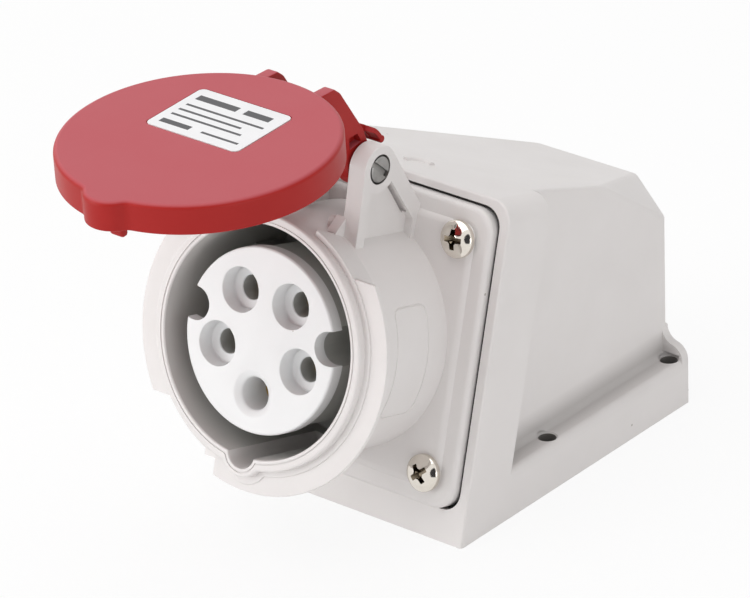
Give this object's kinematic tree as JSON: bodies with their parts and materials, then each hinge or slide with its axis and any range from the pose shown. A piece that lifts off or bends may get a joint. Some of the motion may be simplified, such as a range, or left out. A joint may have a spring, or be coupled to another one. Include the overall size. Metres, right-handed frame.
{
  "type": "wall-mounted industrial power socket",
  "caption": "Surface-mounted round industrial power socket with a tilted flanged collar, contact insert and sprung hinged red lid, for connecting refrigerated containers or machines.",
  "frame": {"origin": "centre of the wall-screw pattern on the mounting plane", "axes": "+Z away from the wall, the socket facing -Y and tilted up, +X to its right seen from the front"},
  "size_m": [0.082, 0.1725, 0.1164],
  "materials": {
    "grey_plastic": "satin moulded",
    "white_plastic": "satin moulded",
    "red_plastic": "fine spark texture",
    "black_rubber": "matt",
    "nickel_screw": "bright nickel",
    "steel": "dull zinc",
    "contact_brass": "turned",
    "label_white": "printed film"
  },
  "bodies": {
    "housing": {"wall_box": "grey_plastic", "flange_gasket": "black_rubber", "collar_flange": "grey_plastic", "flange_screw_tl": "nickel_screw", "flange_screw_tr": "nickel_screw", "flange_screw_bl": "nickel_screw", "flange_screw_br": "nickel_screw", "contact_insert": "white_plastic", "terminal_carrier": "white_plastic", "carrier_screw_left": "steel", "carrier_screw_right": "steel", "contact_l1": "contact_brass", "contact_l2": "contact_brass", "contact_l3": "contact_brass", "contact_n": "contact_brass", "contact_pe": "contact_brass", "spring_ring_l1": "steel", "spring_ring_l2": "steel", "spring_ring_l3": "steel", "spring_ring_n": "steel", "spring_ring_pe": "steel", "terminal_screw_l1": "steel", "terminal_screw_l2": "steel", "terminal_screw_l3": "steel", "terminal_screw_n": "steel", "terminal_screw_pe": "steel", "hinge_pin": "steel", "lid_spring": "steel", "cable_grommet": "black_rubber"},
    "lid": {"lid": "red_plastic", "lid_gasket": "black_rubber", "lid_label": "label_white"}
  },
  "joints": [
    {"name": "lid_hinge", "type": "hinge", "parent": "housing", "child": "lid", "pos_m": [0, -0.05916, 0.09261], "axis": [-1, 0, 0], "range_deg": [-72.2, 37.8], "stiffness_Nm_per_rad": 0.06, "springref_deg": -133.5}
  ]
}
